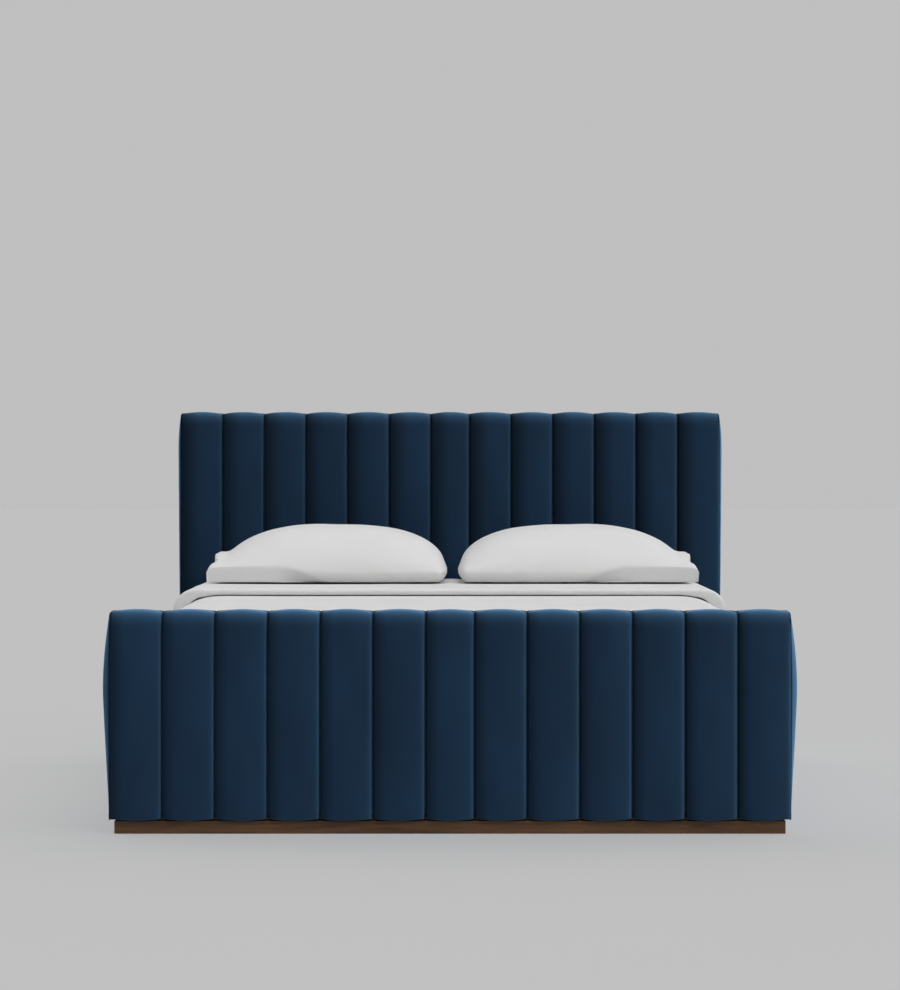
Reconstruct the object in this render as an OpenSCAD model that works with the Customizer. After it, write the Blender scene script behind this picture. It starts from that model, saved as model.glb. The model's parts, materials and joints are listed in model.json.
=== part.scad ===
// Upholstered bed with channel-tufted headboard and footboard, on a low wooden plinth.
// Origin on the floor under the middle of the bed; +X to the right as seen from the
// foot end, +Y towards the headboard, +Z up. All sizes in millimetres.

/* [Upholstered channels] */
// Channels across each board, always odd so that one is in the middle
channel_count = 13; // [13:2:15]
// Width of every channel but the middle one
channel_w = 131.5; // [131:0.5:140]
// Width of the middle channel
middle_channel_w = 122; // [118:1:140]
// How far a channel stands proud of its seams
channel_crown = 8; // [3:1:12]
// Gap between one channel and the next, at the seam
seam_gap = 0.5; // [0.2:0.1:1]

/* [Headboard] */
// Height of the headboard above the floor
headboard_h = 1090; // [900:10:1400]
// Padding in front of the headboard's panel
headboard_foam = 40; // [30:1:60]
// Depth of the stiles and rails behind the headboard's panel
headboard_stile_d = 37; // [30:1:60]
// Thickness of the headboard's fabric-covered back board
back_board_t = 10; // [6:1:14]
// How far the headboard's end pads stand out
headboard_end_pad = 11; // [4:1:14]

/* [Footboard] */
// Height of the footboard above the floor
footboard_h = 560; // [500:10:600]
// Padding in front of the footboard's panel
footboard_foam = 38; // [30:1:60]
// Depth of the stiles behind the footboard's panel
footboard_stile_d = 30; // [24:1:50]
// Thickness of the fabric-covered board on the mattress side of the footboard
inner_board_t = 9; // [6:1:14]
// How far the footboard's end pads stand out
footboard_end_pad = 20; // [6:1:24]

/* [Board frames] */
// Thickness of the panel in each board
panel_t = 18; // [12:1:22]
// Width of the upright stiles
stile_w = 110; // [100:1:120]
// Height of the cross rails between the headboard's stiles
cross_rail_h = 70; // [50:5:100]
// Padding on top of each board
top_pad_t = 25; // [18:1:30]
// Radius of the padding's front top edge
top_roll_r = 24; // [12:1:28]

/* [Side rails and base] */
// Height of the side rails' top edge above the floor
rail_top = 300; // [280:5:320]
// Thickness of a side rail's board
rail_board_t = 36; // [28:1:38]
// Padding on the outside of a side rail
rail_pad_t = 20; // [10:1:20]
// Padding on top of a side rail
rail_top_pad_t = 12; // [8:1:16]
// Fabric turned over the inside of a side rail
rail_lining_t = 4; // [3:1:5]
// Height of the plinth
plinth_h = 32.5; // [25:0.5:60]
// How far the plinth is set back from the sides of the boards
plinth_inset = 12.5; // [10:0.5:20]
// Width of the plinth's front and back boards
plinth_board_w = 70; // [50:5:80]
// Thickness of the plinth's side boards
plinth_side_w = 40; // [30:5:45]
// Slats across the bed
slat_count = 14; // [10:1:16]
// Width of a slat
slat_w = 70; // [50:5:80]
// Thickness of a slat
slat_t = 18; // [14:1:22]
// Width of the ledge that carries the slats' ends
ledge_w = 44; // [36:1:46]
// Height of that ledge
ledge_h = 36; // [30:1:45]
// Width of the centre beam
beam_w = 70; // [50:5:90]
// Height of the centre beam
beam_h = 90; // [60:5:110]
// Side of a square centre leg
leg_w = 45; // [40:5:50]

/* [Mattress and bedding] */
// Width of the mattress
mattress_w = 1524; // [1500:1:1524]
// Length of the mattress
mattress_l = 2032; // [1900:1:2032]
// Thickness of the mattress
mattress_t = 280; // [240:5:300]
// Thickness of the duvet on top of the mattress
duvet_t = 16; // [10:1:18]
// Thickness of the duvet down the mattress's sides
duvet_side_t = 18; // [10:1:18]
// Distance from the mattress's head end to the front of the turned-back duvet
fold_l = 877; // [700:1:1000]
// How far the turned-back duvet hangs below the top of the bed
fold_drop = 150; // [100:5:200]
// Length of a pillow, across the bed
pillow_l = 738; // [700:1:745]
// Depth of a pillow, along the bed
pillow_d = 508; // [480:1:520]
// Height of a pillow
pillow_h = 175; // [140:1:200]
// Gap between the two pillows
pillow_gap = 33; // [10:1:40]
// How far the pillows sit to the right of the bed's middle
pillow_shift = 8; // [0:1:10]

/* [Clearances] */
// Between the duvet and the lining of a side rail
side_gap = 8; // [3:1:10]
// Between the duvet and the footboard
foot_gap = 12; // [5:1:30]
// Between the mattress and the headboard
head_gap = 33; // [20:1:40]
// Under a loose piece that rests on another
rest_gap = 0.4; // [0.3:0.1:1]

/* [Hidden] */
$fn = 32;
CHANNELS = [1:channel_count];
SIDES = ["left", "right"];
function channel_name(board, i) = str(board, "_channel_", i < 10 ? "0" : "", i);

velvet = [0.07, 0.14, 0.22];
walnut = [0.29, 0.19, 0.13];
pine = [0.80, 0.66, 0.45];
plywood = [0.72, 0.58, 0.40];
zinc = [0.65, 0.66, 0.68];
linen = [0.90, 0.90, 0.89];

// Widths across the bed
face_w = (channel_count - 1) * channel_w + middle_channel_w;
rail_in = mattress_w / 2 + duvet_side_t + side_gap;
rail_board_in = rail_in + rail_lining_t;
rail_board_out = rail_board_in + rail_board_t;

// Places along the bed
headboard_d = headboard_foam + panel_t + headboard_stile_d + back_board_t;
footboard_d = footboard_foam + panel_t + footboard_stile_d + inner_board_t;
face_to_face = footboard_d + foot_gap + duvet_side_t + mattress_l + head_gap;
bed_l = face_to_face + headboard_d;
foot_face = -bed_l / 2;
head_face = foot_face + face_to_face;
mattress_foot = foot_face + footboard_d + foot_gap + duvet_side_t;
mattress_head = mattress_foot + mattress_l;
rail_start = foot_face + footboard_foam + panel_t + footboard_stile_d;
rail_end = head_face + headboard_foam;
rail_l = rail_end - rail_start;

// Heights
slat_top = rail_top - 50;
ledge_top = slat_top - slat_t;
mattress_z = slat_top + rest_gap;
mattress_top = mattress_z + mattress_t;
duvet_top = mattress_top + duvet_t;
fold_top = duvet_top + duvet_side_t;

// The corner of each board that is cut away for the end of a side rail
notch_x = rail_in - 45;
notch_top = rail_top + 4;

// Rail brackets and their bolts
bracket_t = 5;
bracket_leg = 90;
bracket_h = 110;
bracket_z = 70;
board_leg = rail_board_in - notch_x - 2;
bolt_inset = 25;
bolt_r = 4;
bolt_hole_r = 4.3;
bolt_head_r = 7;
bolt_head_h = 5;
bolt_l = 28;

function arc(cx, cy, r, from, to, n = 5) =
    [for (i = [0:n]) let (a = from + (to - from) * i / n) [cx + r * cos(a), cy + r * sin(a)]];

// Centre of a channel, counted from the left
function channel_x(i) =
    let (middle = (channel_count + 1) / 2,
         step = i - middle)
    step == 0 ? 0 : step * channel_w + sign(step) * (middle_channel_w - channel_w) / 2;

function channel_width(i) = i == (channel_count + 1) / 2 ? middle_channel_w : channel_w;

// A row of points across a width: level over most of it, dropping to the seams by the crown
function crown_points(w, top, n = 8) =
    [for (i = [0:n]) let (u = 2 * i / n - 1) [u * w / 2, top - channel_crown * pow(abs(u), 4)]];

// Extrudes an outline drawn in Y and Z along X
module along_x(length) {
    rotate([90, 0, 90]) linear_extrude(length, center = true) children();
}

// Extrudes an outline drawn in X and Z along Y, from y = 0
module along_y(length) {
    translate([0, length, 0]) rotate([90, 0, 0]) linear_extrude(length) children();
}

module block(x, y, z) {
    translate([x[0], y[0], z[0]]) cube([x[1] - x[0], y[1] - y[0], z[1] - z[0]]);
}

// The same piece on the left or on the right, drawn on the right
module on_side(side) {
    mirror([side == "left" ? 1 : 0, 0, 0]) children();
}

// ---- boards ----

// Side view of a board's padding: front face, rounded top edge and the top over the core
module padding_profile(h, foam, core) {
    polygon(concat(
        [[foam, plinth_h], [foam, h - top_pad_t], [foam + core, h - top_pad_t], [foam + core, h]],
        arc(top_roll_r, h - top_roll_r, top_roll_r, 90, 180),
        [[0, plinth_h + 6], [6, plinth_h]]
    ));
}

// One channel, its crown on y = 0
module channel(i, h, foam, core) {
    w = channel_width(i) - seam_gap;
    translate([channel_x(i), 0, 0]) intersection() {
        along_x(w) padding_profile(h, foam, core);
        mirror([0, 1, 0]) linear_extrude(h + 1)
            polygon(concat([[w / 2, -foam - core], [-w / 2, -foam - core]], crown_points(w, 0)));
        along_y(foam + core)
            polygon(concat([[w / 2, 0], [-w / 2, 0]], crown_points(w, h)));
    }
}

// End pad of a board: crowned from bottom to top, as deep as the board
module end_pad(h, depth, bulge, n = 12) {
    low = plinth_h;
    outline = [for (i = [0:n]) let (t = 2 * i / n - 1)
        [face_w / 2 + bulge * (1 - pow(abs(t), 3)) + 0.6, low + (h - low) * i / n]];
    color(velvet) intersection() {
        along_y(depth) polygon(concat([[face_w / 2, h], [face_w / 2, low]], outline));
        translate([face_w / 2, 0, 0]) along_x(4 * bulge + 4) polygon(concat(
            [[6, low], [depth, low], [depth, h]],
            arc(top_roll_r, h - top_roll_r, top_roll_r, 90, 180),
            [[0, low + 6]]
        ));
    }
}

module headboard_channel(i) {
    core = panel_t + headboard_stile_d;
    outermost = i == 1 || i == channel_count;
    color(velvet) translate([0, head_face, 0]) difference() {
        channel(i, headboard_h, headboard_foam, core);
        if (outermost)
            on_side(i == 1 ? "left" : "right")
                block([notch_x, face_w], [-1, headboard_foam + 1], [0, notch_top]);
    }
}

module headboard_panel() {
    y = head_face + headboard_foam;
    color(plywood)
        block([-face_w / 2, face_w / 2], [y, y + panel_t], [plinth_h, headboard_h - top_pad_t]);
}

module headboard_stile(side) {
    y = head_face + headboard_foam + panel_t;
    color(pine) on_side(side) block([face_w / 2 - stile_w, face_w / 2],
        [y, y + headboard_stile_d], [plinth_h, headboard_h - top_pad_t]);
}

module headboard_cross_rail(z) {
    y = head_face + headboard_foam + panel_t;
    x = face_w / 2 - stile_w;
    color(pine) block([-x, x], [y, y + headboard_stile_d], [z, z + cross_rail_h]);
}

module headboard_top_rail() {
    headboard_cross_rail(headboard_h - top_pad_t - cross_rail_h);
}

module headboard_bottom_rail() {
    headboard_cross_rail(plinth_h);
}

module headboard_end_pad(side) {
    translate([0, head_face, 0]) on_side(side)
        end_pad(headboard_h - channel_crown, headboard_d - back_board_t, headboard_end_pad);
}

module headboard_back_board() {
    color(velvet) block([-face_w / 2, face_w / 2],
        [head_face + headboard_d - back_board_t, head_face + headboard_d],
        [plinth_h, headboard_h - channel_crown]);
}

module footboard_channel(i) {
    color(velvet) translate([0, foot_face, 0])
        channel(i, footboard_h, footboard_foam, panel_t + footboard_stile_d);
}

module footboard_panel() {
    y = foot_face + footboard_foam;
    color(plywood)
        block([-face_w / 2, face_w / 2], [y, y + panel_t], [plinth_h, footboard_h - top_pad_t]);
}

module footboard_stile(side) {
    y = foot_face + footboard_foam + panel_t;
    color(pine) on_side(side) block([face_w / 2 - stile_w, face_w / 2],
        [y, y + footboard_stile_d], [plinth_h, footboard_h - top_pad_t]);
}

module footboard_end_pad(side) {
    translate([0, foot_face, 0]) on_side(side)
        end_pad(footboard_h - channel_crown, footboard_d - inner_board_t, footboard_end_pad);
}

module footboard_inner_board() {
    y = foot_face + footboard_d - inner_board_t;
    color(velvet) difference() {
        block([-face_w / 2, face_w / 2], [y, y + inner_board_t],
            [plinth_h, footboard_h - channel_crown]);
        for (side = SIDES)
            on_side(side) block([notch_x, face_w], [y - 1, y + inner_board_t + 1], [0, notch_top]);
    }
}

// ---- side rails ----

module side_rail(side) {
    color(pine) on_side(side) block([rail_board_in, rail_board_out],
        [rail_start, rail_end], [plinth_h, rail_top - rail_top_pad_t]);
}

// Padding outside and on top of the rail, with its lining turned over the inside
module side_rail_pad(side) {
    outer = rail_board_out + rail_pad_t;
    edge_r = 14;
    color(velvet) on_side(side) translate([0, rail_start, 0]) along_y(rail_l) polygon(concat(
        [[rail_board_out, plinth_h], [rail_board_out, rail_top - rail_top_pad_t],
         [rail_board_in, rail_top - rail_top_pad_t], [rail_board_in, slat_top + 4],
         [rail_in, slat_top + 4], [rail_in, rail_top]],
        arc(outer - edge_r, rail_top - edge_r, edge_r, 90, 0),
        [[outer, plinth_h + 4], [outer - 4, plinth_h]]
    ));
}

module slat_ledge(side) {
    color(pine) on_side(side) block([rail_board_in - ledge_w, rail_board_in],
        [rail_start, rail_end], [ledge_top - ledge_h, ledge_top]);
}

// Runs its children at the two bolt heights of a bracket
module bolt_heights() {
    for (z = [bolt_inset, bracket_h - bolt_inset]) translate([0, 0, bracket_z + z]) children();
}

// Moves its children to the corner of a rail's inside and a board, on the right.
// y is the board's face and way is the direction from it along the rail.
module bracket_corner(y, way) {
    translate([rail_board_in, y, 0]) mirror([0, way < 0 ? 1 : 0, 0]) children();
}

// Moves its children to the bolt line of the leg on the rail, +Z into the rail
module rail_leg_bolts() {
    bolt_heights() translate([-bracket_t, bracket_leg - bolt_inset, 0]) rotate([0, 90, 0]) children();
}

// Moves its children to the bolt line of the leg on the board, +Z into the board
module board_leg_bolts() {
    bolt_heights() translate([-(board_leg + bracket_t) / 2, bracket_t, 0]) rotate([90, 0, 0]) children();
}

module bolt_hole() {
    translate([0, 0, -1]) cylinder(h = bracket_t + 2, r = bolt_hole_r);
}

module bracket() {
    difference() {
        union() {
            block([-bracket_t, 0], [0, bracket_leg], [bracket_z, bracket_z + bracket_h]);
            block([-board_leg, 0], [0, bracket_t], [bracket_z, bracket_z + bracket_h]);
        }
        rail_leg_bolts() bolt_hole();
        board_leg_bolts() bolt_hole();
    }
}

// A bolt along +Z whose head sits under z = 0
module bolt() {
    translate([0, 0, -bolt_head_h]) cylinder(h = bolt_head_h, r = bolt_head_r);
    cylinder(h = bolt_l, r = bolt_r);
}

// Puts its children in all four corners of the mattress well
module well_corners() {
    for (side = SIDES) on_side(side) {
        bracket_corner(rail_start, 1) children();
        bracket_corner(rail_end, -1) children();
    }
}

module rail_brackets() {
    color(zinc) well_corners() bracket();
}

module rail_bolts() {
    color(zinc) well_corners() {
        rail_leg_bolts() bolt();
        board_leg_bolts() bolt();
    }
}

// ---- base ----

plinth_x = face_w / 2 - plinth_inset;
plinth_front_y = foot_face + 10;
plinth_back_y = head_face + headboard_d - plinth_inset;

module plinth_front() {
    color(walnut) block([-plinth_x, plinth_x],
        [plinth_front_y, plinth_front_y + plinth_board_w], [0, plinth_h]);
}

module plinth_back() {
    color(walnut) block([-plinth_x, plinth_x],
        [plinth_back_y - plinth_board_w, plinth_back_y], [0, plinth_h]);
}

module plinth_side(side) {
    color(walnut) on_side(side) block([plinth_x - plinth_side_w, plinth_x],
        [plinth_front_y + plinth_board_w, plinth_back_y - plinth_board_w], [0, plinth_h]);
}

module slats() {
    first = mattress_foot + 20;
    pitch = (mattress_l - 40 - slat_w) / (slat_count - 1);
    half = rail_board_in - 4;
    color(pine) for (i = [0:slat_count - 1])
        block([-half, half], [first + i * pitch, first + i * pitch + slat_w], [ledge_top, slat_top]);
}

module centre_beam() {
    color(pine) block([-beam_w / 2, beam_w / 2],
        [foot_face + footboard_d, head_face - 1], [ledge_top - beam_h, ledge_top]);
}

module centre_legs() {
    reach = mattress_l / 2 - 150;
    middle = (mattress_foot + mattress_head) / 2;
    color(pine) for (y = [-reach, 0, reach])
        block([-leg_w / 2, leg_w / 2], [middle + y - leg_w / 2, middle + y + leg_w / 2],
            [0, ledge_top - beam_h]);
}

// ---- mattress and bedding ----

// Upper half of a section across the bed: straight sides and rounded shoulders
function shoulders(half, top, r) =
    concat(arc(half - r, top - r, r, 0, 90, 7), arc(r - half, top - r, r, 90, 180, 7));

mattress_edge_r = 30;

module mattress() {
    half = mattress_w / 2;
    bottom_r = 20;
    color(linen) translate([0, mattress_foot, 0]) along_y(mattress_l) polygon(concat(
        shoulders(half, mattress_top, mattress_edge_r),
        arc(bottom_r - half, mattress_z + bottom_r, bottom_r, 180, 270),
        arc(half - bottom_r, mattress_z + bottom_r, bottom_r, 270, 360)
    ));
}

// A layer of bedding over the mattress: its section across the bed, open below
module layer_section(inner, outer, inner_top, outer_top, r, low) {
    polygon(concat(
        [[outer, low]], shoulders(outer, outer_top, r + outer - inner), [[-outer, low]],
        [[-inner, low]],
        [for (p = shoulders(inner, inner_top, r)) [-p[0], p[1]]],
        [[inner, low]]
    ));
}

module duvet() {
    inner = mattress_w / 2;
    outer = inner + duvet_side_t;
    low = mattress_z + 14;
    color(linen) {
        translate([0, mattress_foot, 0]) along_y(mattress_l)
            layer_section(inner, outer, mattress_top, duvet_top, mattress_edge_r, low);
        translate([0, mattress_foot - duvet_side_t, 0]) along_y(duvet_side_t) polygon(concat(
            [[outer, low]], shoulders(outer, duvet_top, mattress_edge_r + duvet_side_t),
            [[-outer, low]]
        ));
    }
}

module duvet_fold() {
    inner = mattress_w / 2 + duvet_side_t;
    outer = inner + duvet_side_t;
    color(linen) translate([0, mattress_head - fold_l, 0]) along_y(fold_l) layer_section(
        inner, outer, duvet_top, fold_top, mattress_edge_r + duvet_side_t, fold_top - fold_drop);
}

// Half of a pillow's outline seen from one side: a dome over edges that are edge_h high
function dome(half, edge_h, height, power, n = 14) =
    [for (i = [0:n]) let (u = cos(180 * i / n))
        [half * u, edge_h + (height - edge_h) * pow(1 - pow(abs(u), power), 0.45)]];

module pillow(side) {
    edge_h = 34;
    tuck = 18;
    corner_r = 50;
    l = pillow_l / 2;
    d = pillow_d / 2;
    middle = (side == "left" ? -1 : 1) * (pillow_gap + pillow_l) / 2 + pillow_shift;
    color(linen) translate([middle, head_face - 3 - d, fold_top + rest_gap]) intersection() {
        translate([0, -d, 0]) along_y(2 * d)
            polygon(concat([[tuck - l, 0], [l - tuck, 0]], dome(l, edge_h, pillow_h, 2.6)));
        along_x(2 * l)
            polygon(concat([[tuck - d, 0], [d - tuck, 0]], dome(d, edge_h, pillow_h, 2.4)));
        linear_extrude(pillow_h) polygon(concat(
            arc(l - corner_r, d - corner_r, corner_r, 0, 90),
            arc(corner_r - l, d - corner_r, corner_r, 90, 180),
            arc(corner_r - l, corner_r - d, corner_r, 180, 270),
            arc(l - corner_r, corner_r - d, corner_r, 270, 360)
        ));
    }
}

for (i = CHANNELS) {
    headboard_channel(i);
    footboard_channel(i);
}
headboard_panel();
headboard_top_rail();
headboard_bottom_rail();
headboard_back_board();
footboard_panel();
footboard_inner_board();
for (side = SIDES) {
    headboard_stile(side);
    headboard_end_pad(side);
    footboard_stile(side);
    footboard_end_pad(side);
    side_rail(side);
    side_rail_pad(side);
    slat_ledge(side);
    plinth_side(side);
    pillow(side);
}
rail_brackets();
rail_bolts();
plinth_front();
plinth_back();
slats();
centre_beam();
centre_legs();
mattress();
duvet();
duvet_fold();
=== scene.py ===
"""Looks of the upholstered bed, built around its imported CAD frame. Metres, +Z up, foot end at -Y."""
import json
import math
from collections import namedtuple

import bmesh
import bpy
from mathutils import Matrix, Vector, noise

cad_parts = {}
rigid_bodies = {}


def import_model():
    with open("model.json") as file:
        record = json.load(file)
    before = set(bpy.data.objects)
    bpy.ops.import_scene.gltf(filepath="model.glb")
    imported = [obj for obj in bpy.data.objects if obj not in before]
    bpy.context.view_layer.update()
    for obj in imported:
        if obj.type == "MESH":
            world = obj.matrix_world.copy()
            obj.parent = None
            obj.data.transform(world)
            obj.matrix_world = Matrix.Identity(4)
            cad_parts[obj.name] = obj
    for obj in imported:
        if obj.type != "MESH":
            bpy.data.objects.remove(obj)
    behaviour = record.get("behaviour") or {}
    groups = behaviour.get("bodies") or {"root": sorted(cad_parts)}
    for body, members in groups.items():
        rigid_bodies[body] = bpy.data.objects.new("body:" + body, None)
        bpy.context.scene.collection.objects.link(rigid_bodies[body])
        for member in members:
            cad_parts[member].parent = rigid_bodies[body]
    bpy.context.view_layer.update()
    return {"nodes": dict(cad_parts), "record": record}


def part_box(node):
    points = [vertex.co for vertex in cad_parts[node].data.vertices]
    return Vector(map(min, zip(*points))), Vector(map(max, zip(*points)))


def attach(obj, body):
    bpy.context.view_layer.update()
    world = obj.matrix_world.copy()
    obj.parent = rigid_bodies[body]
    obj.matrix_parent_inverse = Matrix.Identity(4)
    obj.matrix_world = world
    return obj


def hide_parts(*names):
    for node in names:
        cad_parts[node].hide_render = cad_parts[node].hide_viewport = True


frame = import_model()

MM = 0.001
SEAM_REACH = 0.3 * MM    # how far a channel's cover goes past its seam
CHANNELS = range(1, 14)
SIDES = (("left", -1), ("right", 1))


# ---- places taken from the frame ----

class Board:
    """Where the padding of the headboard or the footboard lies, and how dark and how wide the painted
    shade on the left of each channel is.
    """

    def __init__(self, name, nap_bump_and_left_shade, left_shade_reach, seed):
        boxes = [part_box(f"{name}_channel_{i:02d}") for i in CHANNELS]
        low = Vector(min(box[0][axis] for box in boxes) for axis in range(3))
        high = Vector(max(box[1][axis] for box in boxes) for axis in range(3))
        self.name = name
        self.nap_bump_and_left_shade = nap_bump_and_left_shade
        self.left_shade_reach = left_shade_reach
        self.seed = seed
        self.face = low.y
        self.depth = high.y - low.y
        self.low = low.z
        self.top = high.z
        self.half = high.x
        panel_low, panel_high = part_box(f"{name}_panel")
        self.foam = panel_low.y - low.y
        self.top_pad = high.z - panel_high.z
        self.roll_depth = 30 * MM
        self.roll_rise = 46 * MM

    def roll_drop(self, y):
        """How far the rounded front edge lies below the top at the depth y."""
        share = max(0.0, 1 - y / self.roll_depth)
        return self.roll_rise * (1 - math.sqrt(1 - share * share))


# Painted shade on the left of each channel: how dark it gets at most, and how far across it reaches;
# darker on the headboard.
headboard = Board("headboard", nap_bump_and_left_shade=0.85, left_shade_reach=58 * MM, seed=40)
footboard = Board("footboard", nap_bump_and_left_shade=0.62, left_shade_reach=34 * MM, seed=0)


# ---- meshes ----

def add_subdivision(piece):
    smooth = piece.modifiers.new("smooth", "SUBSURF")
    smooth.levels = 1
    smooth.render_levels = 1


def from_form(name, form, material, smooth=True, subdivided=False, mesh=None):
    """A piece with its normals outwards, from a bmesh, which it uses up."""
    bmesh.ops.recalc_face_normals(form, faces=form.faces)
    if mesh is None:
        mesh = bpy.data.meshes.new(name)
    form.to_mesh(mesh)
    form.free()
    if smooth:
        mesh.polygons.foreach_set("use_smooth", [True] * len(mesh.polygons))
    piece = bpy.data.objects.new(name, mesh)
    bpy.context.scene.collection.objects.link(piece)
    piece.data.materials.append(material)
    if subdivided:
        add_subdivision(piece)
    return piece


def mesh_object(name, points, faces, material, subdivided=False):
    """A smooth-shaded piece from points, and from faces given as numbers of points."""
    mesh = bpy.data.meshes.new(name)
    mesh.from_pydata([tuple(p) for p in points], [], faces)
    mesh.validate()
    form = bmesh.new()
    form.from_mesh(mesh)
    return from_form(name, form, material, subdivided=subdivided, mesh=mesh)


def flat_square(name, reach, material):
    """A square on the floor's plane, from -reach to reach both ways."""
    corners = [(-reach, -reach, 0), (reach, -reach, 0), (reach, reach, 0), (-reach, reach, 0)]
    return mesh_object(name, corners, [(0, 1, 2, 3)], material)


def skin(name, rings, material, doubled=False):
    """A closed, subdivided tube through equal rings of points, capped at both ends.

    A doubled ring runs out along one side of a layer and back along its other side.
    """
    count = len(rings[0])
    points = [p for ring in rings for p in ring]
    faces = []
    for r in range(len(rings) - 1):
        for i in range(count):
            a, b = r * count + i, r * count + (i + 1) % count
            faces.append((a, b, b + count, a + count))
    for first in (0, (len(rings) - 1) * count):
        if doubled:
            faces += [(first + i, first + i + 1, first + count - 2 - i, first + count - 1 - i)
                      for i in range(count // 2 - 1)]
        else:
            faces.append(tuple(range(first, first + count)))
    return mesh_object(name, points, faces, material, subdivided=True)


def arc(cx, cy, r, start, end, steps):
    """Points on an arc, angles in degrees, both ends included."""
    angles = [math.radians(start + (end - start) * i / steps) for i in range(steps + 1)]
    return [(cx + r * math.cos(a), cy + r * math.sin(a)) for a in angles]


def wave(p, size, seed):
    """Smooth noise from about -1 to 1, with bumps about size metres across."""
    return noise.noise(Vector((p[0] / size + 17.3 * seed, p[1] / size - 5.1 * seed, p[2] / size + seed)))


def place_across(i, count, bunched):
    """The i-th of count + 1 places from -1 to 1, drawn together towards both ends."""
    even = 2 * i / count - 1
    return (1 - bunched) * even + bunched * math.sin(math.pi / 2 * even)


def rounded_box(name, low, high, radius, cell, material, open_below=False, subdivided=False):
    """A box with rounded edges, cut into cells, closed or with its underside left off."""
    size = high - low
    counts = [max(2, round(size[axis] / cell)) for axis in range(3)]
    form = bmesh.new()
    index = {}

    def vertex(i, j, k):
        if (i, j, k) not in index:
            p = Vector(low[axis] + size[axis] * n / counts[axis] for axis, n in enumerate((i, j, k)))
            core = Vector(min(max(p[axis], low[axis] + radius), high[axis] - radius)
                          for axis in range(3))
            if open_below:
                core.z = min(p.z, high.z - radius)
            out = p - core
            index[i, j, k] = form.verts.new(core + out.normalized() * radius if out.length > 0 else p)
        return index[i, j, k]

    for axis in range(3):
        a, b = [n for n in range(3) if n != axis]
        for end in (0, counts[axis]):
            if open_below and axis == 2 and end == 0:
                continue
            for i in range(counts[a]):
                for j in range(counts[b]):
                    corners = []
                    for di, dj in ((0, 0), (1, 0), (1, 1), (0, 1)):
                        key = [0, 0, 0]
                        key[axis], key[a], key[b] = end, i + di, j + dj
                        corners.append(vertex(*key))
                    form.faces.new(corners)
    return from_form(name, form, material, subdivided=subdivided)


def declare_padded(piece, body, node):
    """Attaches a padded piece to a body and hides the CAD node that it stands for."""
    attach(piece, body)
    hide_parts(node)


# ---- materials ----

def add_node(tree, kind, inputs=None, **settings):
    """A shader node; each input is given as a value, or as the socket that feeds it."""
    made = tree.nodes.new(kind)
    for setting, value in settings.items():
        setattr(made, setting, value)
    for socket, value in (inputs or {}).items():
        if isinstance(value, bpy.types.NodeSocket):
            tree.links.new(value, made.inputs[socket])
        else:
            made.inputs[socket].default_value = value
    return made


class Shader:
    """A node material under construction around one Principled BSDF."""

    def __init__(self, name, **sockets):
        self.material = bpy.data.materials.new(name)
        self.material.use_nodes = True
        self.tree = self.material.node_tree
        self.bsdf = self.tree.nodes["Principled BSDF"]
        for socket, value in sockets.items():
            self.bsdf.inputs[socket.replace("_", " ")].default_value = value
        self.place = self.tree.nodes.new("ShaderNodeTexCoord").outputs["Object"]

    def node(self, kind, inputs=None, **settings):
        return add_node(self.tree, kind, inputs, **settings)

    def stretched(self, scale):
        return self.node("ShaderNodeMapping", {"Vector": self.place, "Scale": scale}).outputs[0]

    def noise(self, size, vector=None, detail=2.0, rough=0.5, distortion=0.0):
        """Noise from 0 to 1 with features about size metres across."""
        return self.node("ShaderNodeTexNoise", {
            "Vector": vector or self.place, "Scale": 1 / size, "Detail": detail,
            "Roughness": rough, "Distortion": distortion}).outputs["Fac"]

    def ramp(self, factor, *stops):
        made = self.node("ShaderNodeValToRGB", {"Fac": factor})
        ramp = made.color_ramp
        while len(ramp.elements) < len(stops):
            ramp.elements.new(0.5)
        for element, (position, colour) in zip(ramp.elements, stops):
            element.position = position
            element.color = (*colour, 1)
        return made.outputs["Color"]

    def spread(self, factor, low, high):
        """Maps 0..1 noise to the range low..high."""
        return self.node("ShaderNodeMapRange", {
            "Value": factor, "From Min": 0.3, "From Max": 0.7,
            "To Min": low, "To Max": high}).outputs[0]

    def maths(self, operation, a, b):
        return self.node("ShaderNodeMath", {0: a, 1: b}, operation=operation).outputs[0]

    def set(self, socket, value):
        self.tree.links.new(value, self.bsdf.inputs[socket])

    def bump(self, height, distance, strength=1.0, under=None):
        inputs = {"Height": height, "Distance": distance, "Strength": strength}
        if under:
            inputs["Normal"] = under
        return self.node("ShaderNodeBump", inputs).outputs[0]


def scaled(colour, factor):
    return tuple(min(1.0, channel * factor) for channel in colour)


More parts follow.
